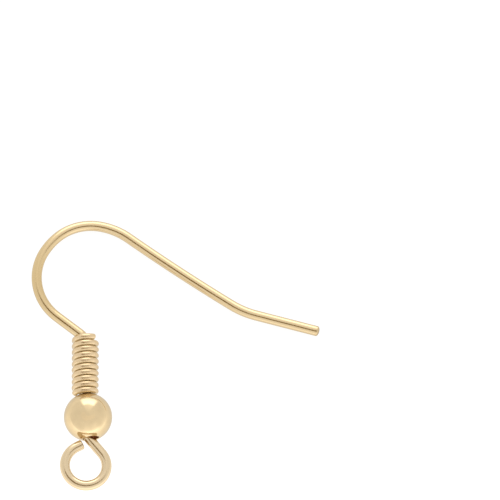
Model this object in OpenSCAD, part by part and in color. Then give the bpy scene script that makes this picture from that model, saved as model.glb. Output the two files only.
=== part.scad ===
// Ear wire: the hook of a drop earring, lying on a flat surface.
//
// One round wire is bent to the whole hook. Its stem runs down through a close-wound coil and a
// hollow bead, and ends in a loop that holds the drop. The hook is drawn in its own plane, with
// x to the right, y up along the stem's centreline and z out of the plane, and y is 0 at the
// bead's centre. It is then laid down: it rests on the bead, on the top of its big bend and on
// its tip, and the origin is the middle of its outline on the surface.

/* [Wire] */
// Diameter of the ear wire
wire_d = 0.63; // [0.5:0.01:0.75]
// Height of the dome that rounds the tip
tip_dome_h = 0.16; // [0.05:0.01:0.3]

/* [Tip and shank] */
// Straight length of the tip, with its dome
tip_len = 4.04; // [2:0.02:8]
// Centreline radius of the shallow bend between tip and shank
tip_bend_r = 5.4; // [3:0.1:10]
// Angle of that bend
tip_turn = 17.5; // [5:0.1:30]
// Length of the shank
shank_len = 7.65; // [5:0.05:12]
// Angle of the slight bow along the shank
shank_turn = 3.6; // [0.5:0.1:8]

/* [Big bend] */
// Mean centreline radius of the bend that hangs in the ear
crown_r = 3.45; // [2.8:0.01:4.2]
// Angle of that bend
crown_turn = 178.1; // [165:0.1:190]
// Straight length between the coil and the bend
neck_len = 1.76; // [1:0.01:3]
// Centreline radius of the bend where the wire leaves the coil
neck_bend_r = 0.7; // [0.5:0.05:1]
// Angle of that bend
neck_turn = 50.6; // [40:0.1:60]

/* [Stem and loop] */
// Turn of the laid hook on the surface, to the left at the stem's top
stem_lean = 2; // [0:0.1:10]
// How far above the bead's lowest point the stem turns into the leg
leg_rise = 0.2; // [0.1:0.01:0.4]
// Centreline radius of that turn
leg_bend_r = 0.6; // [0.4:0.05:0.8]
// Angle of that turn
leg_turn = 38; // [30:0.5:45]
// Inside diameter of the loop
loop_in_d = 1.93; // [1.5:0.01:3]
// Angle that the loop's round part takes in
loop_turn = 283; // [270:1:290]
// Straight length at the loop's cut end
loop_end_len = 0.42; // [0.2:0.01:0.6]
// Gap between the loop's cut end and the bead
loop_gap = 0.05; // [0.02:0.01:0.5]

/* [Bead] */
// Outside diameter of the bead
bead_d = 3; // [2.6:0.05:4]
// Thickness of its wall
bead_wall = 0.25; // [0.15:0.01:0.4]
// Gap all round between the stem and the bead's holes
bead_play = 0.185; // [0.15:0.005:0.25]
// Share of its free lean that the bead takes up on the stem
bead_lean_share = 0.74; // [0:0.01:0.8]
// Share of its play that the bead's centre stands off the stem
bead_shift_share = 0.3; // [0:0.05:0.5]

/* [Coil] */
// Diameter of the coil's own wire
coil_wire_d = 0.37; // [0.3:0.01:0.45]
// Gap between one turn and the next
coil_turn_gap = 0.012; // [0.005:0.001:0.05]
// Number of turns
coil_turns = 9.35; // [6:0.05:13]
// Gap all round between the stem and the inside of the coil
coil_play = 0.15; // [0.1:0.005:0.2]
// Share of its free lean that the coil takes up on the stem
coil_lean_share = 0.47; // [0:0.01:0.8]
// Angle from the front to the coil's upper cut end, towards the right
coil_end_angle = 48; // [0:1:90]
// Gap between the coil and the bead it sits on
seat_gap = 0.02; // [0.01:0.005:0.1]
// Gap between the coil's top turn and the neck
neck_gap = 0.035; // [0.03:0.005:0.2]

/* [Hidden] */
$fn = 64;

// The big bend is not quite round: a row for each stretch, from the neck to the shank
SHARE_R = 0;     // its radius, as a share of the mean radius
SHARE_TURN = 1;  // its angle, as a share of the whole bend
CROWN = [
    [1.01, 0.06],
    [0.91, 0.41],
    [1.17, 0.10],
    [0.94, 0.28],
    [1.23, 0.15],
];
// The same for the loop, from the leg to its straight end
LOOP = [
    [0.985, 0.40],
    [1.015, 0.60],
];
// Sides of the coil's wire and steps in a turn
COIL_SIDES = 8;
COIL_STEPS = 24;
// Steps in each stretch where the outline is searched for its outermost points
SEARCH_STEPS = 40;
// Steps in the curve of the tip's dome
DOME_STEPS = 6;

wire_r = wire_d / 2;
shank_bow_r = fine(shank_len / shank_turn * 180 / PI);
bead_r = bead_d / 2;
coil_wire_r = coil_wire_d / 2;

// A place on the centreline holds x, y and the heading, in degrees from +x
X = 0;
Y = 1;
HEADING = 2;
// A point off the plane holds z instead
Z = 2;
// A stretch of wire holds its length and its turn, in degrees to the left, or 0 if straight
LENGTH = 0;
TURN = 1;
// Lengths and angles that are worked out are kept to a thousandth
function fine(x) = round(x * 1000) / 1000;
function straight(length) = [fine(length), 0];
function bend(r, turn) = [r * abs(turn) * PI / 180, turn];
function bends(table, r, turn) =
    [for (row = table) bend(fine(r * row[SHARE_R]), fine(turn * row[SHARE_TURN]))];
function signed_r(stretch) = stretch[LENGTH] / stretch[TURN] * 180 / PI;

// The place at a share of the way along a stretch that starts at a place
function along(place, stretch, share = 1) =
    let (h = place[HEADING], turn = stretch[TURN] * share)
    stretch[TURN] == 0
        ? place + stretch[LENGTH] * share * [cos(h), sin(h), 0]
        : let (r = signed_r(stretch))
          place + [r * (sin(h + turn) - sin(h)), r * (cos(h) - cos(h + turn)), turn];

// The places where each stretch starts, and after them the place where the last one ends
function places(start, stretches, i = 0) =
    i == len(stretches)
        ? [start]
        : concat([start], places(along(start, stretches[i]), stretches, i + 1));

function last(list) = list[len(list) - 1];
function heading(angle) = [cos(angle), sin(angle)];
function spot(place) = [place[X], place[Y]];
// Distance from a bend's corner to where its arc starts
function corner_len(r, turn) = r * tan(turn / 2);

// Bead: it stands off the stem and leans on it by shares of what its two holes allow
bead_hole_r = wire_r + bead_play;
bead_hole_y = sqrt(bead_r * bead_r - bead_hole_r * bead_hole_r);
bead_lean = bead_lean_share * atan(bead_play / bead_hole_y);
bead_x = bead_shift_share * bead_play;

// Coil: the centreline of its wire, with the coil's middle at 0 and then where it sits
coil_r = wire_r + coil_play + coil_wire_r;
coil_pitch = coil_wire_d + coil_turn_gap;
coil_len = coil_pitch * coil_turns;
coil_lean = -coil_lean_share * atan(2 * coil_play / coil_len);
function coil_raw(turns) =
    let (a = coil_end_angle - 360 * turns)
    [coil_r * sin(a), coil_len / 2 - coil_pitch * turns, coil_r * cos(a)];
function leaned(p) =
    let (c = cos(coil_lean), s = sin(coil_lean)) [p[X] * c - p[Y] * s, p[X] * s + p[Y] * c, p[Z]];

// The coil sits as low as its last turn lets it come to the bead
seat_r = bead_r + coil_wire_r + seat_gap;
function seat_y(p) = sqrt(seat_r * seat_r - pow(p[X] - bead_x, 2) - p[Z] * p[Z]) - p[Y];
coil_y = max([for (i = [0:COIL_STEPS]) seat_y(leaned(coil_raw(coil_turns - i / COIL_STEPS)))]);
function coil_at(p) = leaned(p) + [0, coil_y, 0];

// Neck: its line clears the left side of the coil's top turn
neck_off = heading(neck_turn);
top_left = coil_at(coil_raw((coil_end_angle + 90) / 360));
neck_clear = spot(top_left) + (wire_r + coil_wire_r + neck_gap) * neck_off;
// Height of the corner where the stem's line meets the neck's line
neck_y = neck_clear * neck_off / neck_off[Y];

// Leg: the stem turns into it at a corner inside the bead
leg_y = leg_rise - bead_r;
foot_y = leg_y + corner_len(leg_bend_r, leg_turn);
foot_down = [0, foot_y, 270];
foot_up = [0, foot_y, 90];
leg_bend = bend(leg_bend_r, leg_turn);
leg_start = along(foot_down, leg_bend);

// The loop keeps its cut end clear of the bead: the leg is as long as that takes
loop_r = (loop_in_d + wire_d) / 2;
loop_stretches = concat(bends(LOOP, loop_r, -loop_turn), [straight(loop_end_len)]);
loop_end = last(places(leg_start, loop_stretches));
end_corner = spot(loop_end) + wire_r * heading(loop_end[HEADING] + 90) - [bead_x, 0];
end_way = end_corner * heading(270 + leg_turn);
leg_len = sqrt(pow(end_way, 2) - end_corner * end_corner + pow(bead_r + loop_gap, 2)) - end_way;

// The wire in four limbs: each holds the place where it starts and its stretches, and every one
// that starts at a slant starts with a straight stretch
START = 0;
STRETCHES = 1;
stem_len = neck_y - corner_len(neck_bend_r, neck_turn) - foot_y;
stem_stretches = [straight(stem_len), bend(neck_bend_r, neck_turn)];
neck_start = last(places(foot_up, stem_stretches));
hook_stretches = concat(
    [straight(neck_len)],
    bends(CROWN, crown_r, -crown_turn),
    [bend(shank_bow_r, shank_turn), bend(tip_bend_r, tip_turn)]
);
knee_limb = [foot_down, [leg_bend]];
loop_limb = [leg_start, concat([straight(leg_len)], loop_stretches)];
stem_limb = [foot_up, stem_stretches];
hook_limb = [neck_start, hook_stretches];
tip_start = last(places(neck_start, hook_stretches));
tip_foot = along(tip_start, straight(tip_len - tip_dome_h));

// Fine steps along the whole wire, for the search of its outermost points
wire_steps = [
    for (limb = [knee_limb, loop_limb, stem_limb, hook_limb])
        let (rows = limb[STRETCHES], starts = places(limb[START], rows))
        for (i = [0:len(rows) - 1], k = [0:SEARCH_STEPS])
            along(starts[i], rows[i], k / SEARCH_STEPS)
];

// How it lies: the line that touches tip and big bend stays level, and the bead lifts the rest
function bearing(place) = atan2(place[Y] - tip_foot[Y], place[X] - tip_foot[X]);
upper_steps =
    [for (p = wire_steps) if (p[X] < tip_foot[X] - tip_len && p[Y] > tip_foot[Y]) p];
level_bearing = min([for (p = upper_steps) bearing(p)]);
level = heading(level_bearing);
level_off = abs((tip_foot[X] - bead_x) * level[Y] - tip_foot[Y] * level[X]);
rest_tilt = asin((bead_r - wire_r) / level_off);
// A vector of the hook's plane, as it points on the surface
function laid(v) =
    let (a = v * level, w = a * level + cos(rest_tilt) * (v - a * level))
    [w * heading(-stem_lean), w * heading(90 - stem_lean)];
// Reach of the wire on the surface towards a direction, with what its end adds
function step_reach(place, dir, end_h = 0) =
    let (t = laid(heading(place[HEADING])) * dir)
    laid(spot(place) - [bead_x, 0]) * dir
        + sqrt(wire_r * wire_r * (1 - t * t) + pow(end_h * t, 2));
function reach(dir) = max(
    step_reach(tip_foot, dir, tip_dome_h),
    max([for (p = wire_steps) step_reach(p, dir)])
);
middle = [reach([1, 0]) - reach([-1, 0]), reach([0, 1]) - reach([0, -1])] / 2;

module lay_down() {
    translate([-middle[X], -middle[Y], bead_r])
        rotate([0, 0, stem_lean])
            rotate(a = rest_tilt, v = [level[X], level[Y], 0])
                translate([-bead_x, 0, 0])
                    children();
}

// Moves to a point of the plane in two steps, so that neighbouring stretches meet face to face
module at(point) {
    near = [for (v = point) fine(v)];
    translate([near[X], near[Y], 0])
        translate([point[X] - near[X], point[Y] - near[Y], 0])
            children();
}

// One stretch of the wire, from the place where it starts
module stretch(place, row) {
    h = place[HEADING];
    turn = row[TURN];
    if (turn == 0) {
        at(spot(place)) rotate([0, 90, h]) cylinder(r = wire_r, h = row[LENGTH]);
    } else {
        r = signed_r(row);
        at(spot(place) + r * heading(h + 90))
            rotate_extrude(angle = abs(turn), start = turn > 0 ? h - 90 : h + 90 + turn)
                translate([abs(r), 0]) circle(r = wire_r);
    }
}

// The straight tip and its dome, as one turned piece that stands on its start
module tip() {
    dome_y = tip_len - tip_dome_h;
    outline = concat(
        [[0, 0], [wire_r, 0]],
        [for (i = [0:DOME_STEPS])
            let (a = 90 * i / DOME_STEPS) [wire_r * cos(a), dome_y + tip_dome_h * sin(a)]]
    );
    rotate_extrude() polygon(outline);
}

// A limb, drawn along its own x and then turned about the point where it starts. What is given
// to it stands on its end.
module limb(row) {
    start = row[START];
    rows = row[STRETCHES];
    starts = places([0, 0, 0], rows);
    end = last(starts);
    at(spot(start)) rotate(start[HEADING]) {
        for (i = [0:len(rows) - 1]) stretch(starts[i], rows[i]);
        at(spot(end)) rotate([0, 90, end[HEADING]]) children();
    }
}

module ear_hook() {
    color("#e6c889") lay_down() {
        limb(knee_limb);
        limb(loop_limb);
        limb(stem_limb);
        limb(hook_limb) tip();
    }
}

// A ring of points round the coil's wire
function coil_ring(turns) =
    let (
        a = coil_end_angle - 360 * turns,
        rise = coil_pitch / (2 * PI * coil_r),
        out = [sin(a), 0, cos(a)],
        run = [cos(a), rise, -sin(a)] / norm([1, rise]),
        side = cross(run, out)
    )
    [for (k = [0:COIL_SIDES - 1])
        let (b = 360 * k / COIL_SIDES)
        coil_at(coil_raw(turns) + coil_wire_r * (cos(b) * out + sin(b) * side))];

module coil() {
    rings = ceil(coil_turns * COIL_STEPS);
    points = [for (i = [0:rings]) each coil_ring(coil_turns * i / rings)];
    sides = [for (i = [0:rings - 1], k = [0:COIL_SIDES - 1])
        let (a = i * COIL_SIDES, b = a + COIL_SIDES, n = (k + 1) % COIL_SIDES)
        [a + k, b + k, b + n, a + n]];
    first_end = [for (k = [0:COIL_SIDES - 1]) k];
    last_end = [for (k = [COIL_SIDES - 1:-1:0]) rings * COIL_SIDES + k];
    color("#dcbb7c") lay_down() polyhedron(points, concat(sides, [first_end, last_end]));
}

module bead() {
    color("#ead19a") lay_down() translate([bead_x, 0, 0]) rotate([-90, 0, bead_lean])
        rotate_extrude() difference() {
            circle(r = bead_r);
            circle(r = bead_r - bead_wall);
            translate([-bead_d, -bead_d]) square([bead_d + bead_hole_r, 2 * bead_d]);
        }
}

ear_hook();
coil();
bead();
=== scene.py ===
"""Ear wire: one bent gold-coloured wire with a coil and a hollow bead on its stem.

Laid out as an add-on, with its sizes and colours as properties, one operator for each piece and
one for the studio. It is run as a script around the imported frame.
"""

from math import asin, atan, atan2, ceil, cos, degrees, pi, radians, sin, sqrt, tan

import bmesh
import bpy
from bpy.props import FloatProperty, FloatVectorProperty, PointerProperty
from mathutils import Matrix, Vector


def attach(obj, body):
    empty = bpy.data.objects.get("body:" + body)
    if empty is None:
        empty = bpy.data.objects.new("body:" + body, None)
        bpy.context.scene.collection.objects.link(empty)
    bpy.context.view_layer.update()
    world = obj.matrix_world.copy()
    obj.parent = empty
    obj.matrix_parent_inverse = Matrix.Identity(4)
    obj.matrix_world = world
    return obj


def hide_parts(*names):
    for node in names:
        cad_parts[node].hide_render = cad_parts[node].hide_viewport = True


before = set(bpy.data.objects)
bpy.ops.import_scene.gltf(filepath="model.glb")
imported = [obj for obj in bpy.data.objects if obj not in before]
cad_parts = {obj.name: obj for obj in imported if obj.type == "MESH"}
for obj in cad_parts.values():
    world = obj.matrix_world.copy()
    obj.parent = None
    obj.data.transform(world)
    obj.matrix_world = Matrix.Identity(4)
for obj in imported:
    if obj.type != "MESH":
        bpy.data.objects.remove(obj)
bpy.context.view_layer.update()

bl_info = {
    "name": "Ear wire",
    "version": (1, 0, 0),
    "blender": (4, 5, 0),
    "location": "3D View > Sidebar > Ear wire",
    "description": "Builds an ear wire with its coil and bead, and the studio it lies in",
    "category": "Add Mesh",
}

MM = 0.001
BODY = "root"
RIGHT_ANGLE = radians(90)

# The big bend's stretches from the neck to the shank, as shares of its radius and of its angle
CROWN = ((1.01, 0.06), (0.91, 0.41), (1.17, 0.10), (0.94, 0.28), (1.23, 0.15))
# The loop's stretches from the leg to its cut end, in the same shares
LOOP = ((0.985, 0.40), (1.015, 0.60))
# Steps in each stretch where the outermost places are searched, and in the coil's last turn where
# its seat is
SEARCH_STEPS = 40
SEAT_STEPS = 24

# Fineness of the hook: its longest step, its largest turn in a step and its sides, with the steps
# of the cut end's bevel and of the tip's dome, which stops a little short of its pole
WIRE_STEP = 0.18 * MM
WIRE_BEND_STEP = radians(2.5)
WIRE_SIDES = 48
CUT_STEPS = 6
DOME_STEPS = 11
DOME_WHOLE = 11.6
# Fineness of the coil, in a turn and round its wire
COIL_STEPS = 96
COIL_SIDES = 28
# Fineness of the bead: round its axis, over its outside, over its inside and round a hole's edge
BEAD_SIDES = 128
BEAD_OUTSIDE = 72
BEAD_INSIDE = 36
BEAD_EDGE = 6
# Points nearer than this are one, and edges steeper than this stay sharp
MERGE = 0.0001 * MM
SHARP = radians(40)

# Reach of the soft zones where the hook takes another colour: a warmer, darker gold outside
# the big bend, a paler, greyer gold in the loop, and at the tip a dark colour that is painted shade
BEND_ZONE = 4 * MM
LOOP_ZONE = 3.5 * MM
TIP_SHADE_ZONE = 0.42 * MM

# Width of the camera's sensor in millimetres, and the nearest and farthest that it sees in metres
SENSOR = 36
CLIP = (0.001, 10)

# The light table: its rings in metres, the spokes, how far it lies under the ear wire, and the
# distances between which it grows brighter
TABLE_RINGS = (0.003, 0.006, 0.012, 0.025, 0.05, 0.1, 0.3, 4.2)
TABLE_SPOKES = 48
TABLE_DROP = 0.02 * MM
TABLE_FADE = (0.001, 0.02)

# The light tent: its radius in metres, its rows and its spokes
TENT_R = 4.0
TENT_ROWS = 45
TENT_SPOKES = 120

# The lamps' soft edges. Each takes away a share of the light, and has the two angles in degrees
# between which it does so: to a side of the lamp's middle, or above the table. The foot's edge
# takes it away downwards.
BACK_SIDES = ((1.0, 20, 32),)
BACK_FOOT = ((0.35, 24, 0),)
BACK_TOP = ((0.8, 30, 42), (0.2, 36, 80))
FRONT_SIDES = ((0.68, 14, 46), (0.32, 40, 100))
FRONT_TOP = ((0.7, -2, 18), (0.3, 10, 60))
# Where the lamp in front stands, in degrees from straight in front to the right
FRONT_BEARING = 16

# The boom's course past the lens, from left to right: across and up the picture as shares of its
# reach on that side, and its width as a share of the whole width
BOOM_COURSE = (
    (-1.0, 0.74, 0.4), (-0.83, 0.5, 0.85), (-0.67, 0.25, 0.92), (-0.5, -0.04, 0.87),
    (-0.21, -0.15, 0.8), (0.0, -0.1, 0.7), (0.3, -0.02, 0.66), (0.6, 0.02, 0.6),
    (0.86, 0.14, 0.42), (1.0, 0.46, 0.35),
)
# It hangs behind the lens, by this share of the camera's distance
BOOM_BEHIND = 1.1


def linear(hex_colour):
    """Turns an sRGB hex colour into linear red, green and blue."""
    shares = [int(hex_colour[i:i + 2], 16) / 255 for i in (1, 3, 5)]
    return [s / 12.92 if s <= 0.04045 else ((s + 0.055) / 1.055) ** 2.4 for s in shares]


def rgba(rgb, brightness=1.0):
    """A colour as a node's socket takes it, at a share of its brightness."""
    return (*[c * brightness for c in rgb], 1)


WHITE = rgba(linear("#FFFFFF"))


def length(name, description, millimetres):
    """A length property that opens at a size in millimetres."""
    return FloatProperty(
        name=name, description=description, default=millimetres * MM, min=0, unit="LENGTH",
        precision=5,
    )


def angle(name, description, turn):
    """An angle property that opens at an angle in degrees."""
    return FloatProperty(
        name=name, description=description, default=radians(turn), unit="ROTATION"
    )


def share(name, description, value, top=1.0):
    """A property for a plain number, such as a share or a strength."""
    return FloatProperty(name=name, description=description, default=value, min=0, max=top)


def colour(name, description, hex_colour):
    """A colour property that opens at an sRGB hex colour."""
    return FloatVectorProperty(
        name=name, description=description, default=linear(hex_colour), subtype="COLOR",
        min=0, max=1,
    )


class EarWireSizes(bpy.types.PropertyGroup):
    """Sizes of the ear wire"""

    wire_d: length("Wire diameter", "Diameter of the ear wire", 0.63)
    tip_dome_h: length("Tip dome", "Height of the dome that rounds the tip", 0.16)
    tip_len: length("Tip length", "Straight length of the tip, with its dome", 4.04)
    tip_bend_r: length("Tip bend", "Centreline radius between tip and shank", 5.4)
    tip_turn: angle("Tip turn", "Angle of the bend between tip and shank", 17.5)
    shank_len: length("Shank length", "Length of the shank", 7.65)
    shank_turn: angle("Shank turn", "Angle of the slight bow along the shank", 3.6)
    crown_r: length("Big bend", "Mean centreline radius of the bend in the ear", 3.45)
    crown_turn: angle("Big bend turn", "Angle of the bend in the ear", 178.1)
    neck_len: length("Neck length", "Straight length between coil and big bend", 1.76)
    neck_bend_r: length("Neck bend", "Centreline radius where the wire leaves the coil", 0.7)
    neck_turn: angle("Neck turn", "Angle of that bend", 50.6)
    stem_lean: angle("Stem lean", "Turn of the laid hook on the surface", 2)
    leg_rise: length("Leg rise", "Height of the leg's corner above the bead's foot", 0.2)
    leg_bend_r: length("Leg bend", "Centreline radius where the stem turns into the leg", 0.6)
    leg_turn: angle("Leg turn", "Angle of that turn", 38)
    loop_in_d: length("Loop inside", "Inside diameter of the loop", 1.93)
    loop_turn: angle("Loop turn", "Angle that the loop's round part takes in", 283)
    loop_end_len: length("Loop end", "Straight length at the loop's cut end", 0.42)
    loop_gap: length("Loop gap", "Gap between the loop's cut end and the bead", 0.05)
    cut_bevel: length("Cut bevel", "Bevel at the edge of the loop's cut end", 0.045)
    bead_d: length("Bead diameter", "Outside diameter of the bead", 3)
    bead_wall: length("Bead wall", "Thickness of the bead's wall", 0.25)
    bead_play: length("Bead play", "Gap all round between stem and bead", 0.185)
    bead_rim: length("Bead rim", "Rounding of the edge of the bead's holes", 0.05)
    bead_lean_share: share("Bead lean", "Share of its free lean that the bead takes up", 0.74)
    bead_shift_share: share("Bead shift", "Share of its play that the bead stands off", 0.3)
    coil_wire_d: length("Coil wire", "Diameter of the coil's own wire", 0.37)
    coil_turn_gap: length("Turn gap", "Gap between one turn and the next", 0.012)
    coil_turns: share("Turns", "Number of turns of the coil", 9.35, 20)
    coil_play: length("Coil play", "Gap all round between stem and coil", 0.15)
    coil_lean_share: share("Coil lean", "Share of its free lean that the coil takes up", 0.47)
    coil_end_angle: angle("Coil end", "Angle from the front to the coil's upper cut end", 48)
    seat_gap: length("Seat gap", "Gap between the coil and the bead", 0.02)
    neck_gap: length("Neck gap", "Gap between the coil's top turn and the neck", 0.035)


class EarWireFinish(bpy.types.PropertyGroup):
    """Colours and polish of the ear wire"""

    wire_gold: colour("Wire gold", "Colour of the hook's plating", "#DFC79D")
    coil_gold: colour("Coil gold", "Colour of the coil's plating", "#E1C79F")
    bead_gold: colour("Bead gold", "Colour of the bead's plating", "#DFC79D")
    # A warmer, darker gold round the outside of the big bend
    bend_gold: colour("Big bend gold", "Colour of the plating outside the big bend", "#D6BC8C")
    # Painted shade: a dark colour round the end of the hook's tip
    tip_painted_shade: colour("Tip gold", "Colour of the hook's tip, where the plating is thin", "#A4875A")
    # A paler, greyer gold round the middle of the loop
    loop_gold: colour("Loop gold", "Colour of the plating in the middle of the loop", "#DAC6A6")
    bead_inside: colour("Bead inside", "Colour of the unplated inside of the bead", "#EDB98E")
    # Painted light: a paler colour where one turn faces the next, which brightens the grooves
    # between the turns
    groove_painted_light: colour("Between turns", "Colour where one turn faces the next", "#EBDDC0")
    edge_tint: share("Edge brightness", "How bright the metal is at a glancing angle", 0.78)
    wire_polish: share("Wire roughness", "Roughness of the drawn wire", 0.2)
    coil_polish: share("Coil roughness", "Roughness of the coil's wire", 0.26)
    bead_polish: share("Bead roughness", "Roughness of the polished bead", 0.12)


class EarWireStudio(bpy.types.PropertyGroup):
    """Camera and light of the studio"""

    elevation: angle("Camera elevation", "Height of the camera above the surface", 78.5)
    lens: FloatProperty(
        name="Lens", description="Focal length of the camera", default=1500, min=20, unit="CAMERA"
    )
    view_width: length("View width", "Width of what the camera sees at the bead", 30.864)
    aim_x: FloatProperty(
        name="Aim across", description="The picture's middle from the bead, to the right",
        default=10.0 * MM, unit="LENGTH",
    )
    aim_y: FloatProperty(
        name="Aim up", description="The picture's middle from the bead, up the picture",
        default=10.315 * MM, unit="LENGTH",
    )
    tent: share("Tent", "Brightness of the light tent all round", 1.0, 5)
    back: share("Back lamp", "Brightness that the lamp behind adds to the tent", 1.5, 20)
    back_bearing: angle("Back lamp bearing", "From straight behind to the lamp, rightwards", 3.5)
    front: share("Front lamp", "Brightness that the low lamp in front adds to the tent", 1.0, 20)
    table: share("Light table", "Brightness of the light table under the ear wire", 0.9, 5)
    table_front: share("Light table in front", "Share that it is brighter in front", 0.8, 5)
    boom_brown: colour("Boom cloth", "Colour of the cloth round the camera's boom", "#755D26")
    boom_width: angle("Boom width", "Width of the boom as the ear wire sees it", 30)
    boom_left: share("Boom reach left", "How far it goes left of the lens, as a tangent", 0.58, 2)
    boom_right: share("Boom reach right", "How far it goes right of the lens, as a tangent", 0.7, 2)


class Path:
    """Stretches of bent wire from a place on. A place holds x, y and the heading in radians, and
    a stretch its length and its turn to the left, or no turn if it is straight."""

    def __init__(self, start, stretches):
        self.stretches = stretches
        self.places = [start]
        for stretch in stretches:
            self.places.append(along(self.places[-1], stretch))

    @property
    def end(self):
        """The place after the last stretch."""
        return self.places[-1]

    def steps(self, count):
        """Places at even steps along each stretch."""
        return [
            along(place, stretch, k / count)
            for place, stretch in zip(self.places, self.stretches)
            for k in range(count + 1)
        ]

    def fine(self):
        """Places close enough together for a smooth wire, without the very first one."""
        found = []
        for place, stretch in zip(self.places, self.stretches):
            count = ceil(max(stretch[0] / WIRE_STEP, abs(stretch[1]) / WIRE_BEND_STEP, 2))
            found += [along(place, stretch, (k + 1) / count) for k in range(count)]
        return found


def along(place, stretch, part=1.0):
    """The place at a share of the way along a stretch."""
    x, y, heading = place
    span, turn = stretch
    if turn == 0:
        return (x + span * part * cos(heading), y + span * part * sin(heading), heading)
    r = span / turn
    after = heading + turn * part
    return (x + r * (sin(after) - sin(heading)), y + r * (cos(heading) - cos(after)), after)


def bend(r, turn):
    """The stretch that turns round a radius."""
    return (r * abs(turn), turn)


def bends(table, r, turn):
    """The stretches of a bend that isn't quite round."""
    return [bend(r * share_r, turn * share_turn) for share_r, share_turn in table]


class Layout:
    """Where everything goes: the same rules as in the part's source, worked out in metres."""

    def __init__(self, s):
        self.s = s
        self.wire_r = s.wire_d / 2
        self.bead_r = s.bead_d / 2
        self.coil_wire_r = s.coil_wire_d / 2

        # Bead: it stands off the stem and leans on it by shares of what its two holes allow
        self.bead_hole_r = self.wire_r + s.bead_play
        hole_y = sqrt(self.bead_r ** 2 - self.bead_hole_r ** 2)
        self.bead_lean = s.bead_lean_share * atan(s.bead_play / hole_y)
        self.bead_x = s.bead_shift_share * s.bead_play

        # Coil: it sits as low as its last turn lets it come to the bead
        self.coil_r = self.wire_r + s.coil_play + self.coil_wire_r
        self.coil_pitch = s.coil_wire_d + s.coil_turn_gap
        self.coil_len = self.coil_pitch * s.coil_turns
        self.coil_lean = -s.coil_lean_share * atan(2 * s.coil_play / self.coil_len)
        seat_r = self.bead_r + self.coil_wire_r + s.seat_gap
        self.coil_y = 0
        last_turn = [self.coil_at(s.coil_turns - i / SEAT_STEPS) for i in range(SEAT_STEPS + 1)]
        self.coil_y = max(
            sqrt(seat_r ** 2 - (p.x - self.bead_x) ** 2 - p.z ** 2) - p.y for p in last_turn
        )

        # Neck: its line clears the left side of the coil's top turn
        off = Vector((cos(s.neck_turn), sin(s.neck_turn)))
        top_left = self.coil_at((s.coil_end_angle + RIGHT_ANGLE) / (2 * pi)).to_2d()
        clear = top_left + (self.wire_r + self.coil_wire_r + s.neck_gap) * off
        neck_y = clear.dot(off) / off.y

        # Leg and loop: the leg is as long as the loop's cut end needs to clear the bead
        foot_y = s.leg_rise - self.bead_r + s.leg_bend_r * tan(s.leg_turn / 2)
        knee = Path((0, foot_y, 3 * RIGHT_ANGLE), [bend(s.leg_bend_r, s.leg_turn)])
        loop_r = (s.loop_in_d + s.wire_d) / 2
        loop = bends(LOOP, loop_r, -s.loop_turn) + [(s.loop_end_len, 0)]
        end = Path(knee.end, loop).end
        side = end[2] + RIGHT_ANGLE
        corner = Vector((end[0], end[1])) + self.wire_r * Vector((cos(side), sin(side)))
        corner.x -= self.bead_x
        way = corner.dot(Vector((cos(knee.end[2]), sin(knee.end[2]))))
        leg_len = sqrt(way ** 2 - corner.length_squared + (self.bead_r + s.loop_gap) ** 2) - way
        self.down = Path(knee.places[0], knee.stretches + [(leg_len, 0)] + loop)

        # Stem, neck, big bend, shank and tip
        stem_len = neck_y - s.neck_bend_r * tan(s.neck_turn / 2) - foot_y
        self.up = Path(
            (0, foot_y, RIGHT_ANGLE),
            [(stem_len, 0), bend(s.neck_bend_r, s.neck_turn), (s.neck_len, 0)]
            + bends(CROWN, s.crown_r, -s.crown_turn)
            + [(s.shank_len, s.shank_turn), bend(s.tip_bend_r, s.tip_turn)],
        )
        self.tip_foot = along(self.up.end, (s.tip_len - s.tip_dome_h, 0))
        self.tip_end = along(self.up.end, (s.tip_len, 0))
        # The big bend is outermost halfway along its second stretch, the fifth from the foot
        self.crown_outside = along(self.up.places[4], self.up.stretches[4], 0.5)
        # The loop starts after the leg, and its middle lies to the right of that place
        x, y, way = self.down.places[2]
        self.loop_middle = (x + loop_r * sin(way), y - loop_r * cos(way), way)
        self.lay_down()

    def lay_down(self):
        """Finds the turn and shift that rest the hook on its bead, big bend and tip."""
        s = self.s
        foot = self.tip_foot
        steps = self.down.steps(SEARCH_STEPS) + self.up.steps(SEARCH_STEPS)
        # The hook turns about the line from the tip that touches the big bend, until its bead
        # lies on the surface too
        upper = [p for p in steps if p[0] < foot[0] - s.tip_len and p[1] > foot[1]]
        level_bearing = min(atan2(p[1] - foot[1], p[0] - foot[0]) for p in upper)
        level = Vector((cos(level_bearing), sin(level_bearing), 0))
        off = abs((foot[0] - self.bead_x) * level.y - foot[1] * level.x)
        tilt = asin((self.bead_r - self.wire_r) / off)
        turn = Matrix.Rotation(s.stem_lean, 4, "Z") @ Matrix.Rotation(tilt, 4, level)
        turn = turn @ Matrix.Translation((-self.bead_x, 0, 0))

        def reach(way):
            """How far the wire reaches towards a direction."""
            def of_step(place, end_h=0):
                """The reach of the wire's round at a place, or of a dome as high as end_h."""
                run = turn.to_3x3() @ Vector((cos(place[2]), sin(place[2]), 0))
                t = run.dot(way)
                at = turn @ Vector((place[0], place[1], 0))
                return at.dot(way) + sqrt(self.wire_r ** 2 * (1 - t * t) + (end_h * t) ** 2)

            return max([of_step(foot, s.tip_dome_h)] + [of_step(p) for p in steps])

        # Then it is shifted, so that its box has its middle over the frame's origin
        middle_x = (reach(Vector((1, 0, 0))) - reach(Vector((-1, 0, 0)))) / 2
        middle_y = (reach(Vector((0, 1, 0))) - reach(Vector((0, -1, 0)))) / 2
        self.laid = Matrix.Translation((-middle_x, -middle_y, self.bead_r)) @ turn

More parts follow.
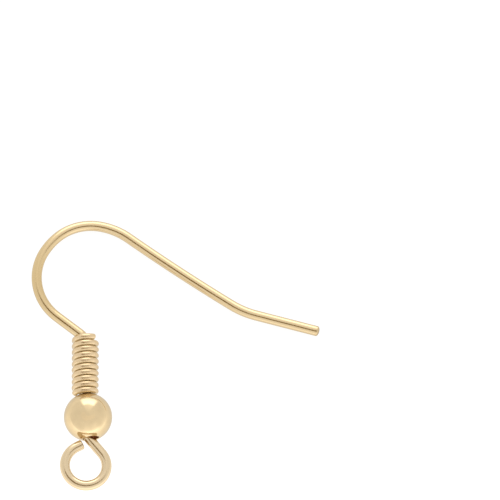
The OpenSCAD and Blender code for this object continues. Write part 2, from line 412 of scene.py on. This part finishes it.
    def coil_at(self, turns):
        """A point of the coil's centreline, counted in turns from its upper end."""
        a = self.s.coil_end_angle - 2 * pi * turns
        x = self.coil_r * sin(a)
        y = self.coil_len / 2 - self.coil_pitch * turns
        c, d = cos(self.coil_lean), sin(self.coil_lean)
        return Vector((x * c - y * d, x * d + y * c + self.coil_y, self.coil_r * cos(a)))

    def spot(self, place):
        """Where a place of the hook's plane comes to lie."""
        return self.laid @ Vector((place[0], place[1], 0))

    def wire_line(self):
        """Points of the hook's centreline from the cut end to the tip, each with its thickness
        as a share of the wire's."""
        s = self.s
        down = list(reversed([self.down.places[0]] + self.down.fine()))
        cut = down[0]
        places = []
        # The cut end, which grows from its small face to the whole wire over the bevel
        for k in range(CUT_STEPS):
            part = sin(RIGHT_ANGLE * k / CUT_STEPS)
            place = along(cut, (-s.cut_bevel * part, 0))
            places.append((place, 1 - s.cut_bevel / self.wire_r * (1 - part)))
        places.append((along(cut, (-s.cut_bevel, 0)), 1))
        places += [(place, 1) for place in down[1:] + self.up.fine()]
        # The straight tip and its dome
        straight = (s.tip_len - s.tip_dome_h, 0)
        count = ceil(straight[0] / WIRE_STEP)
        places += [(along(self.up.end, straight, k / count), 1) for k in range(1, count + 1)]
        for k in range(1, DOME_STEPS + 1):
            rise = RIGHT_ANGLE * k / DOME_WHOLE
            places.append((along(self.tip_foot, (s.tip_dome_h * sin(rise), 0)), cos(rise)))
        return [(place[0], place[1], thickness) for place, thickness in places]


def add(tree, kind, inputs=None, **settings):
    """Adds a node with its settings, and with its inputs set or linked."""
    node = tree.nodes.new(kind)
    for name, value in settings.items():
        setattr(node, name, value)
    for socket, value in (inputs or {}).items():
        if isinstance(value, bpy.types.NodeSocket):
            tree.links.new(value, node.inputs[socket])
        else:
            node.inputs[socket].default_value = value
    return node


def geometry_tree(name, inputs):
    """A geometry tree with named inputs, each a socket kind and a default."""
    tree = bpy.data.node_groups.new(name, "GeometryNodeTree")
    face = tree.interface
    face.new_socket("Geometry", in_out="INPUT", socket_type="NodeSocketGeometry")
    face.new_socket("Geometry", in_out="OUTPUT", socket_type="NodeSocketGeometry")
    for label, (kind, value) in inputs.items():
        socket = face.new_socket(label, in_out="INPUT", socket_type=kind)
        if value is not None:
            socket.default_value = value
    return tree


def run_tree(tree, base, name, values):
    """Runs a geometry tree on a mesh and returns a plain mesh object."""
    holder = bpy.data.objects.new(name + "_holder", base)
    bpy.context.collection.objects.link(holder)
    modifier = holder.modifiers.new("Geometry", "NODES")
    modifier.node_group = tree
    for item in tree.interface.items_tree:
        if item.item_type == "SOCKET" and item.in_out == "INPUT" and item.name in values:
            modifier[item.identifier] = values[item.name]
    graph = bpy.context.evaluated_depsgraph_get()
    mesh = bpy.data.meshes.new_from_object(holder.evaluated_get(graph), depsgraph=graph)
    holder.modifiers.clear()
    bpy.data.objects.remove(holder)
    bpy.data.meshes.remove(base)
    mesh.name = name
    piece = bpy.data.objects.new(name, mesh)
    bpy.context.collection.objects.link(piece)
    return piece


def finish_mesh(piece, matrix):
    """Puts a piece's place in its mesh, closes it, and smooths all but its real edges."""
    mesh = piece.data
    work = bmesh.new()
    work.from_mesh(mesh)
    work.transform(matrix)
    bmesh.ops.remove_doubles(work, verts=work.verts, dist=MERGE)
    bmesh.ops.recalc_face_normals(work, faces=work.faces)
    for face in work.faces:
        face.smooth = True
    for edge in work.edges:
        edge.smooth = len(edge.link_faces) == 2 and edge.calc_face_angle() < SHARP
    work.to_mesh(mesh)
    work.free()


def number_points(mesh, label, numbers):
    """Puts a number on each point of a mesh."""
    mesh.attributes.new(label, "FLOAT", "POINT").data.foreach_set("value", numbers)


def sweep(tree, source, curve, scale):
    """Ends a tree: the wire round the curve, its skin's coordinates and its material.

    The skin holds the place on the wire's own circle as X and Y and the way along the wire as Z,
    so that the marks of drawing follow the wire."""
    along_line = add(tree, "GeometryNodeSplineParameter")
    marked = add(tree, "GeometryNodeStoreNamedAttribute", {
        "Geometry": curve, "Name": "run", "Value": along_line.outputs["Length"],
    }, data_type="FLOAT", domain="POINT")
    circle = add(tree, "GeometryNodeCurvePrimitiveCircle", {
        "Resolution": source.outputs["Sides"], "Radius": source.outputs["Wire radius"],
    })
    where = add(tree, "GeometryNodeInputPosition")
    ring = add(tree, "GeometryNodeStoreNamedAttribute", {
        "Geometry": circle.outputs["Curve"], "Name": "ring", "Value": where.outputs["Position"],
    }, data_type="FLOAT_VECTOR", domain="POINT")
    skin = add(tree, "GeometryNodeCurveToMesh", {
        "Curve": marked.outputs["Geometry"], "Profile Curve": ring.outputs["Geometry"],
        "Scale": scale, "Fill Caps": True,
    })
    run = add(tree, "GeometryNodeInputNamedAttribute", {"Name": "run"}, data_type="FLOAT")
    ring_at = add(tree, "GeometryNodeInputNamedAttribute", {"Name": "ring"},
                  data_type="FLOAT_VECTOR")
    parts = add(tree, "ShaderNodeSeparateXYZ", {"Vector": ring_at.outputs["Attribute"]})
    whole = add(tree, "ShaderNodeCombineXYZ", {
        "X": parts.outputs["X"], "Y": parts.outputs["Y"], "Z": run.outputs["Attribute"],
    })
    kept = add(tree, "GeometryNodeStoreNamedAttribute", {
        "Geometry": skin.outputs["Mesh"], "Name": "skin", "Value": whole.outputs["Vector"],
    }, data_type="FLOAT_VECTOR", domain="POINT")
    real = add(tree, "GeometryNodeRealizeInstances", {"Geometry": kept.outputs["Geometry"]})
    dressed = add(tree, "GeometryNodeSetMaterial", {
        "Geometry": real.outputs["Geometry"], "Material": source.outputs["Material"],
    })
    add(tree, "NodeGroupOutput", {"Geometry": dressed.outputs["Geometry"]})


def material(name):
    """A new material with an empty tree, and the tree."""
    made = bpy.data.materials.new(name)
    made.use_nodes = True
    made.node_tree.nodes.clear()
    # What glows isn't aimed at as a lamp: each ray that leaves the ear wire meets the studio anyway
    made.cycles.emission_sampling = "NONE"
    return made, made.node_tree


def drawn_gold(name, gold, roughness, edge, painted_groove_light=None, spots=()):
    """Gold-plated brass wire, drawn through a die and then tumbled bright.

    The die leaves very long, faint lines along the wire, and the tumbling a soft waviness that
    makes the edges of its reflections wander. Where one turn of a coil faces the next, a paler
    colour, given with the wire's radius, is painted light that brightens the grooves between the
    turns. Round each of some spots another colour is mixed in, given with the spot's place and
    size; the tip's dark spot is painted shade."""
    made, tree = material(name)
    skin = add(tree, "ShaderNodeAttribute", attribute_name="skin")
    # Die lines: 0.08 mm apart round the wire and 4 mm long
    stretched = add(tree, "ShaderNodeMapping", {
        "Vector": skin.outputs["Vector"], "Scale": (1, 1, 0.02),
    })
    lines = add(tree, "ShaderNodeTexNoise", {
        "Vector": stretched.outputs["Vector"], "Scale": 1 / (0.08 * MM), "Detail": 3.0,
    })
    # Tumbling: waves 0.7 mm long round the wire and twice as long along it
    eased = add(tree, "ShaderNodeMapping", {
        "Vector": skin.outputs["Vector"], "Scale": (1, 1, 0.5),
    })
    waves = add(tree, "ShaderNodeTexNoise", {
        "Vector": eased.outputs["Vector"], "Scale": 1 / (0.7 * MM), "Detail": 1.0,
    })
    polish = add(tree, "ShaderNodeMapRange", {
        "Value": lines.outputs["Fac"], "From Min": 0.3, "From Max": 0.7,
        "To Min": roughness * 0.8, "To Max": roughness * 1.25,
    })
    tone = add(tree, "ShaderNodeMix", {
        "Factor": waves.outputs["Fac"], "A": rgba(gold, 0.97), "B": rgba(gold),
    }, data_type="RGBA")
    # Painted light: a paler colour on the flanks where the turns face each other brightens the
    # grooves
    if painted_groove_light:
        groove_light, wire_r = painted_groove_light
        parts = add(tree, "ShaderNodeSeparateXYZ", {"Vector": skin.outputs["Vector"]})
        aside = add(tree, "ShaderNodeMath", {0: parts.outputs["Y"]}, operation="ABSOLUTE")
        groove_light_mask = add(tree, "ShaderNodeMapRange", {
            "Value": aside.outputs["Value"], "From Min": 0.6 * wire_r, "From Max": 0.95 * wire_r,
        }, interpolation_type="SMOOTHSTEP")
        tone = add(tree, "ShaderNodeMix", {
            "Factor": groove_light_mask.outputs["Result"], "A": tone.outputs["Result"], "B": rgba(groove_light),
        }, data_type="RGBA")
    where = add(tree, "ShaderNodeTexCoord") if spots else None
    # Each spot mixes its colour in round its place; the tip's dark spot is painted shade
    for spot_colour, place, size in spots:
        around = add(tree, "ShaderNodeMapping", {
            "Vector": where.outputs["Object"], "Location": -place / size, "Scale": (1 / size,) * 3,
        })
        near = add(tree, "ShaderNodeTexGradient", {"Vector": around.outputs["Vector"]},
                   gradient_type="SPHERICAL")
        tone = add(tree, "ShaderNodeMix", {
            "Factor": near.outputs["Fac"], "A": tone.outputs["Result"], "B": rgba(spot_colour),
        }, data_type="RGBA")
    wavy = add(tree, "ShaderNodeBump", {
        "Height": waves.outputs["Fac"], "Strength": 1.0, "Distance": 0.004 * MM,
    })
    lined = add(tree, "ShaderNodeBump", {
        "Height": lines.outputs["Fac"], "Strength": 1.0, "Distance": 0.0004 * MM,
        "Normal": wavy.outputs["Normal"],
    })
    shader = add(tree, "ShaderNodeBsdfPrincipled", {
        "Base Color": tone.outputs["Result"], "Metallic": 1.0,
        "Roughness": polish.outputs["Result"], "Normal": lined.outputs["Normal"],
        "Specular Tint": rgba((1, 1, 1), edge),
    })
    add(tree, "ShaderNodeOutputMaterial", {"Surface": shader.outputs["BSDF"]})
    return made


def polished_gold(name, gold, roughness, edge):
    """Gold-plated brass ball, pressed from thin sheet and polished on a soft wheel.

    The thin wall keeps a slight waviness, which bends the edges of the lights it mirrors, and
    the wheel leaves patches that are a little duller and deeper in colour."""
    made, tree = material(name)
    # Waves 1.4 mm long, and patches of 0.6 mm
    where = add(tree, "ShaderNodeTexCoord")
    waves = add(tree, "ShaderNodeTexNoise", {
        "Vector": where.outputs["Object"], "Scale": 1 / (1.4 * MM), "Detail": 1.5,
    })
    haze = add(tree, "ShaderNodeTexNoise", {
        "Vector": where.outputs["Object"], "Scale": 1 / (0.6 * MM), "Detail": 2.0,
    })
    polish = add(tree, "ShaderNodeMapRange", {
        "Value": haze.outputs["Fac"], "From Min": 0.3, "From Max": 0.7,
        "To Min": roughness * 0.85, "To Max": roughness * 1.15,
    })
    wavy = add(tree, "ShaderNodeBump", {
        "Height": waves.outputs["Fac"], "Strength": 1.0, "Distance": 0.012 * MM,
    })
    patches = add(tree, "ShaderNodeMapRange", {
        "Value": haze.outputs["Fac"], "From Min": 0.35, "From Max": 0.65,
    })
    tone = add(tree, "ShaderNodeMix", {
        "Factor": patches.outputs["Result"], "A": rgba(gold, 0.93), "B": rgba(gold),
    }, data_type="RGBA")
    shader = add(tree, "ShaderNodeBsdfPrincipled", {
        "Base Color": tone.outputs["Result"], "Metallic": 1.0,
        "Roughness": polish.outputs["Result"], "Normal": wavy.outputs["Normal"],
        "Specular Tint": rgba((1, 1, 1), edge),
    })
    add(tree, "ShaderNodeOutputMaterial", {"Surface": shader.outputs["BSDF"]})
    return made


def dull_brass(name, brass):
    """Unplated brass inside the ball, as it comes from the press: it looks dark brown.

    Its faint emission stands for light that bounces about in the shell more often than the
    renderer follows."""
    made, tree = material(name)
    # Stains of 0.5 mm
    where = add(tree, "ShaderNodeTexCoord")
    stain = add(tree, "ShaderNodeTexNoise", {
        "Vector": where.outputs["Object"], "Scale": 1 / (0.5 * MM), "Detail": 3.0,
    })
    tone = add(tree, "ShaderNodeMix", {
        "Factor": stain.outputs["Fac"], "A": rgba(brass, 0.8), "B": rgba(brass),
    }, data_type="RGBA")
    shader = add(tree, "ShaderNodeBsdfPrincipled", {
        "Base Color": tone.outputs["Result"], "Metallic": 1.0, "Roughness": 0.45,
        "Emission Color": rgba(brass), "Emission Strength": 0.08,
    })
    add(tree, "ShaderNodeOutputMaterial", {"Surface": shader.outputs["BSDF"]})
    return made


def opal_acrylic(name):
    """Opal acrylic over a light table: matt, and lit evenly from below, so that shadows on it are
    faint."""
    made, tree = material(name)
    glow = add(tree, "ShaderNodeAttribute", attribute_name="glow")
    shader = add(tree, "ShaderNodeBsdfPrincipled", {
        "Base Color": rgba(linear("#707070")), "Roughness": 0.9, "Specular IOR Level": 0.0,
        "Emission Color": WHITE, "Emission Strength": glow.outputs["Fac"],
    })
    add(tree, "ShaderNodeOutputMaterial", {"Surface": shader.outputs["BSDF"]})
    return made


def lit_cloth(name):
    """White diffuser cloth of the light tent, as bright at each place as its glow says."""
    made, tree = material(name)
    glow = add(tree, "ShaderNodeAttribute", attribute_name="glow")
    shader = add(tree, "ShaderNodeEmission", {"Color": WHITE, "Strength": glow.outputs["Fac"]})
    add(tree, "ShaderNodeOutputMaterial", {"Surface": shader.outputs["Emission"]})
    return made


def boom_cloth(name, brown, tent):
    """Brown cloth round the camera's boom, dull, so that it shows as one dark line in a wire.

    It also glows by what its brown lacks of the tent's brightness. Its glow is linked to the
    pieces that are kept clear of the boom alone, and they mirror it as bright as the tent."""
    made, tree = material(name)
    shader = add(tree, "ShaderNodeBsdfPrincipled", {
        "Base Color": rgba(brown), "Roughness": 1.0, "Specular IOR Level": 0.0,
        "Emission Color": rgba([1 - c for c in brown]), "Emission Strength": tent,
    })
    add(tree, "ShaderNodeOutputMaterial", {"Surface": shader.outputs["BSDF"]})
    return made


def settings():
    """The sizes, the finish and the studio of the scene."""
    scene = bpy.context.scene
    return scene.ear_wire_sizes, scene.ear_wire_finish, scene.ear_wire_studio


class EARWIRE_OT_hook(bpy.types.Operator):
    """Bend the hook's wire and round its tip"""

    bl_idname = "earwire.hook"
    bl_label = "Hook"

    def execute(self, context):
        sizes, finish, _ = settings()
        layout = Layout(sizes)
        line = layout.wire_line()
        base = bpy.data.meshes.new("hook_line")
        base.from_pydata([(x, y, 0) for x, y, _ in line],
                         [(i, i + 1) for i in range(len(line) - 1)], [])
        number_points(base, "thickness", [thickness for _, _, thickness in line])
        tree = geometry_tree("Hook sweep", {
            "Wire radius": ("NodeSocketFloat", 0.3 * MM),
            "Sides": ("NodeSocketInt", WIRE_SIDES),
            "Material": ("NodeSocketMaterial", None),
        })
        source = add(tree, "NodeGroupInput")
        thickness = add(tree, "GeometryNodeInputNamedAttribute", {"Name": "thickness"},
                        data_type="FLOAT")
        curve = add(tree, "GeometryNodeMeshToCurve", {"Mesh": source.outputs["Geometry"]})
        sweep(tree, source, curve.outputs["Curve"], thickness.outputs["Attribute"])
        gold = drawn_gold(
            "Drawn gold-plated wire", finish.wire_gold, finish.wire_polish, finish.edge_tint,
            spots=(
                (finish.bend_gold, layout.spot(layout.crown_outside), BEND_ZONE),
                (finish.loop_gold, layout.spot(layout.loop_middle), LOOP_ZONE),
                # Painted shade round the end of the tip
                (finish.tip_painted_shade, layout.spot(layout.tip_end), TIP_SHADE_ZONE),
            ),
        )
        piece = run_tree(tree, base, "hook_wire", {
            "Wire radius": layout.wire_r, "Sides": WIRE_SIDES, "Material": gold,
        })
        finish_mesh(piece, layout.laid)
        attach(piece, BODY)
        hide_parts("ear_hook")
        return {"FINISHED"}


class EARWIRE_OT_coil(bpy.types.Operator):
    """Wind the coil round the stem"""

    bl_idname = "earwire.coil"
    bl_label = "Coil"

    def execute(self, context):
        sizes, finish, _ = settings()
        layout = Layout(sizes)
        tree = geometry_tree("Coil winding", {
            "Wire radius": ("NodeSocketFloat", 0.185 * MM),
            "Sides": ("NodeSocketInt", COIL_SIDES),
            "Steps in a turn": ("NodeSocketInt", COIL_STEPS),
            "Turns": ("NodeSocketFloat", 9.0),
            "Radius": ("NodeSocketFloat", 0.6 * MM),
            "Height": ("NodeSocketFloat", 3.5 * MM),
            "Material": ("NodeSocketMaterial", None),
        })
        source = add(tree, "NodeGroupInput")
        spiral = add(tree, "GeometryNodeCurveSpiral", {
            "Resolution": source.outputs["Steps in a turn"], "Rotations": source.outputs["Turns"],
            "Start Radius": source.outputs["Radius"], "End Radius": source.outputs["Radius"],
            "Height": source.outputs["Height"], "Reverse": True,
        })
        # The wire's skin keeps its Y along the coil's axis, for the painted light between the turns
        upright = add(tree, "GeometryNodeSetCurveNormal", {"Curve": spiral.outputs["Curve"]},
                      mode="Z_UP")
        sweep(tree, source, upright.outputs["Curve"], 1.0)
        gold = drawn_gold(
            "Drawn gold-plated coil wire", finish.coil_gold, finish.coil_polish, finish.edge_tint,
            painted_groove_light=(finish.groove_painted_light, layout.coil_wire_r),
        )
        piece = run_tree(tree, bpy.data.meshes.new("coil_seed"), "coil_winding", {
            "Wire radius": layout.coil_wire_r, "Sides": COIL_SIDES, "Steps in a turn": COIL_STEPS,
            "Turns": sizes.coil_turns, "Radius": layout.coil_r, "Height": layout.coil_len,
            "Material": gold,
        })
        # The spiral climbs along z from x on; the coil runs down along -y from its upper end on
        upper = sizes.coil_end_angle
        across = Vector((sin(upper), 0, cos(upper)))
        down = Vector((0, -1, 0))
        stand = Matrix((across, down.cross(across), down)).transposed().to_4x4()
        lift = Matrix.Translation((0, layout.coil_len / 2, 0))
        seat = Matrix.Translation((0, layout.coil_y, 0))
        lean = Matrix.Rotation(layout.coil_lean, 4, "Z")
        finish_mesh(piece, layout.laid @ seat @ lean @ lift @ stand)
        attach(piece, BODY)
        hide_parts("coil")
        return {"FINISHED"}


class EARWIRE_OT_bead(bpy.types.Operator):
    """Turn the hollow bead with its two holes"""

    bl_idname = "earwire.bead"
    bl_label = "Bead"

    def execute(self, context):
        sizes, finish, _ = settings()
        layout = Layout(sizes)
        inside_r = layout.bead_r - sizes.bead_wall
        outline = bead_outline(layout.bead_r, inside_r, layout.bead_hole_r, sizes.bead_rim)
        points = []
        faces = []
        rows = len(outline)
        for i in range(BEAD_SIDES):
            a = 2 * pi * i / BEAD_SIDES
            points += [(r * cos(a), y, r * sin(a)) for r, y in outline]
            for k in range(rows):
                n = (k + 1) % rows
                j = (i + 1) % BEAD_SIDES
                faces.append((i * rows + k, i * rows + n, j * rows + n, j * rows + k))
        mesh = bpy.data.meshes.new("bead_ball")
        mesh.from_pydata(points, [], faces)
        mesh.materials.append(polished_gold(
            "Polished gold-plated ball", finish.bead_gold, finish.bead_polish, finish.edge_tint
        ))
        mesh.materials.append(dull_brass("Dull brass inside the ball", finish.bead_inside))
        # The outline's faces between the two holes on its inside take the second material
        inside = range(BEAD_OUTSIDE + BEAD_EDGE + 1, BEAD_OUTSIDE + BEAD_EDGE + BEAD_INSIDE + 1)
        mesh.polygons.foreach_set("material_index", [
            int(k % rows in inside) for k in range(len(faces))
        ])
        piece = bpy.data.objects.new("bead_ball", mesh)
        bpy.context.collection.objects.link(piece)
        seat = Matrix.Translation((layout.bead_x, 0, 0)) @ Matrix.Rotation(layout.bead_lean, 4, "Z")
        finish_mesh(piece, layout.laid @ seat)
        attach(piece, BODY)
        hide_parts("bead")
        return {"FINISHED"}


def bead_outline(outer, inner, hole, rim):
    """The bead's half section as a closed outline of radius and height: the outside, the lower
    hole with its rounded edge, the inside and the upper hole."""
    def arc(r, hole_angle, count):
        """A ball's outline from the edge of its upper hole to that of its lower one."""
        angles = [hole_angle + (pi - 2 * hole_angle) * k / count for k in range(count + 1)]
        return [(r * sin(a), r * cos(a)) for a in angles]

    hole_angle = asin((hole + rim) / (outer - rim))
    outside = arc(outer, hole_angle, BEAD_OUTSIDE)
    inside = arc(inner, asin(hole / inner), BEAD_INSIDE)
    # The rounded edge: from square to the ball round to square to the hole
    edge = []
    centre_r = hole + rim
    centre_y = (outer - rim) * cos(hole_angle)
    for k in range(1, BEAD_EDGE + 1):
        a = (RIGHT_ANGLE - hole_angle) + (RIGHT_ANGLE + hole_angle) * k / BEAD_EDGE
        edge.append((centre_r + rim * cos(a), centre_y + rim * sin(a)))
    lower_edge = [(r, -y) for r, y in edge]
    upper_edge = list(reversed(edge))
    return outside + lower_edge + list(reversed(inside)) + upper_edge


def stage_piece(name, points, faces, made, glow=None):
    """A piece of the studio, which isn't part of the ear wire, with how each point glows."""
    mesh = bpy.data.meshes.new(name)
    mesh.from_pydata(points, [], faces)
    mesh.materials.append(made)
    if glow:
        number_points(mesh, "glow", glow)
    piece = bpy.data.objects.new(name, mesh)
    bpy.context.collection.objects.link(piece)
    return piece


def round_sheet(rings, spokes):
    """Points and faces of a round sheet from its middle on, each ring a radius and a height."""
    points = [Vector((0, 0, rings[0][1]))]
    for r, z in rings[1:]:
        turns = [2 * pi * i / spokes for i in range(spokes)]
        points += [Vector((r * sin(a), r * cos(a), z)) for a in turns]
    faces = [(0, 1 + (i + 1) % spokes, 1 + i) for i in range(spokes)]
    for k in range(len(rings) - 2):
        inner = 1 + k * spokes
        outer = inner + spokes
        for i in range(spokes):
            n = (i + 1) % spokes
            faces.append((inner + n, outer + n, outer + i, inner + i))
    return points, faces


def smooth(low, high, value):
    """From 0 to 1 as a value goes from low to high."""
    t = min(max((value - low) / (high - low), 0), 1)
    return t * t * (3 - 2 * t)


def left_after(edges, value):
    """The share of a lamp's light that its soft edges leave."""
    return 1 - sum(part * smooth(low, high, value) for part, low, high in edges)


def tent_glow(way, studio):
    """How bright the tent is towards a direction: brighter behind, and low down in front.

    The height above the table and the way round to a side of a lamp are in degrees."""
    height = degrees(asin(max(min(way.z, 1), -1)))
    aside = abs(degrees(atan2(way.x, way.y) - studio.back_bearing))
    behind = left_after(BACK_SIDES, aside) * left_after(BACK_FOOT, height)
    behind *= left_after(BACK_TOP, height)
    aside = abs(degrees(atan2(way.x, -way.y)) - FRONT_BEARING)
    in_front = left_after(FRONT_SIDES, aside) * left_after(FRONT_TOP, height)
    return studio.tent + studio.back * behind + studio.front * in_front


def table_glow(place, studio):
    """How bright the light table is at a place: brighter away from the ear wire in front."""
    far = place.xy.length
    in_front = max(0, -place.y / far) * smooth(*TABLE_FADE, far) if far else 0
    return studio.table * (1 + studio.table_front * in_front)


def boom_outline(studio):
    """Points of the boom in pairs, from left to right, as tangents across and up the picture."""
    course = [
        (Vector((across, up)) * (studio.boom_left if across < 0 else studio.boom_right), wide)
        for across, up, wide in BOOM_COURSE
    ]
    half = tan(studio.boom_width / 2)
    outline = []
    for k, (spot, wide) in enumerate(course):
        run = course[min(k + 1, len(course) - 1)][0] - course[max(k - 1, 0)][0]
        out = Vector((-run.y, run.x)).normalized() * half * wide
        outline += [spot + out, spot - out]
    return outline


class EARWIRE_OT_stage(bpy.types.Operator):
    """Set the camera with its boom, the light table and the light tent"""

    bl_idname = "earwire.stage"
    bl_label = "Stage"

    def execute(self, context):
        sizes, _, studio = settings()
        layout = Layout(sizes)
        bead = layout.spot((layout.bead_x, 0))

        # Camera: a long lens, high above the near side
        tilt = RIGHT_ANGLE - studio.elevation
        back = Vector((0, -sin(tilt), cos(tilt)))
        side = Vector((1, 0, 0))
        up = back.cross(side)
        aim = bead + studio.aim_x * side + studio.aim_y * up
        data = bpy.data.cameras.new("Camera")
        data.lens = studio.lens
        data.sensor_width = SENSOR
        data.clip_start, data.clip_end = CLIP
        distance = studio.view_width * studio.lens / SENSOR
        camera = bpy.data.objects.new("Camera", data)
        camera.location = aim + back * distance
        camera.rotation_euler = (tilt, 0, 0)
        bpy.context.collection.objects.link(camera)
        context.scene.camera = camera

        # Light table: it lies just under the ear wire, and is brighter away from it in front
        rings = [(r, -TABLE_DROP) for r in (0, *TABLE_RINGS)]
        points, faces = round_sheet(rings, TABLE_SPOKES)
        stage_piece("light_table", points, faces, opal_acrylic("Opal acrylic"),
                    [table_glow(p, studio) for p in points])

        # Light tent: a dome that is brighter behind and low in front
        rises = [RIGHT_ANGLE * k / TENT_ROWS for k in range(TENT_ROWS, -1, -1)]
        rings = [(TENT_R * cos(a), TENT_R * sin(a)) for a in rises]
        points, faces = round_sheet(rings, TENT_SPOKES)
        stage_piece("light_tent", points, faces, lit_cloth("Diffuser cloth"),
                    [tent_glow(p / TENT_R, studio) for p in points])

        # The camera's boom: it shows as the dark line along the wires, and the bead, which mirrors
        # the whole studio, is kept clear of it
        reach = distance * BOOM_BEHIND
        points = [aim + reach * (back + p.x * side + p.y * up) for p in boom_outline(studio)]
        faces = [(2 * k, 2 * k + 1, 2 * k + 3, 2 * k + 2) for k in range(len(BOOM_COURSE) - 1)]
        cloth = boom_cloth("Brown boom cloth", studio.boom_brown, studio.tent)
        boom = stage_piece("camera_boom", points, faces, cloth)
        clear = bpy.data.collections.new("Kept clear of the boom")
        clear.objects.link(bpy.data.objects["bead_ball"])
        boom.light_linking.receiver_collection = clear

        # White room outside the tent
        world = bpy.data.worlds.new("White room")
        world.use_nodes = True
        world.node_tree.nodes.clear()
        glow = add(world.node_tree, "ShaderNodeBackground", {"Color": WHITE, "Strength": 1.0})
        add(world.node_tree, "ShaderNodeOutputWorld", {"Surface": glow.outputs["Background"]})
        context.scene.world = world
        context.scene.view_settings.view_transform = "Standard"
        return {"FINISHED"}


class EARWIRE_PT_panel(bpy.types.Panel):
    """Lists the ear wire's steps"""

    bl_idname = "EARWIRE_PT_panel"
    bl_label = "Ear wire"
    bl_space_type = "VIEW_3D"
    bl_region_type = "UI"
    bl_category = "Ear wire"

    def draw(self, context):
        for step in STEPS:
            self.layout.operator(step.bl_idname)
        for group in settings():
            box = self.layout.box()
            for name in group.bl_rna.properties.keys():
                if name not in ("rna_type", "name"):
                    box.prop(group, name)


STEPS = (EARWIRE_OT_hook, EARWIRE_OT_coil, EARWIRE_OT_bead, EARWIRE_OT_stage)
GROUPS = {
    "ear_wire_sizes": EarWireSizes,
    "ear_wire_finish": EarWireFinish,
    "ear_wire_studio": EarWireStudio,
}


def register():
    """Registers the properties, the steps and the panel."""
    for name, group in GROUPS.items():
        bpy.utils.register_class(group)
        setattr(bpy.types.Scene, name, PointerProperty(type=group))
    for step in STEPS:
        bpy.utils.register_class(step)
    bpy.utils.register_class(EARWIRE_PT_panel)


def unregister():
    """Takes them away again."""
    bpy.utils.unregister_class(EARWIRE_PT_panel)
    for step in reversed(STEPS):
        bpy.utils.unregister_class(step)
    for name, group in reversed(GROUPS.items()):
        delattr(bpy.types.Scene, name)
        bpy.utils.unregister_class(group)


def main():
    """Builds the ear wire and its studio."""
    register()
    bpy.ops.earwire.hook()
    bpy.ops.earwire.coil()
    bpy.ops.earwire.bead()
    bpy.ops.earwire.stage()


if __name__ == "__main__":
    main()
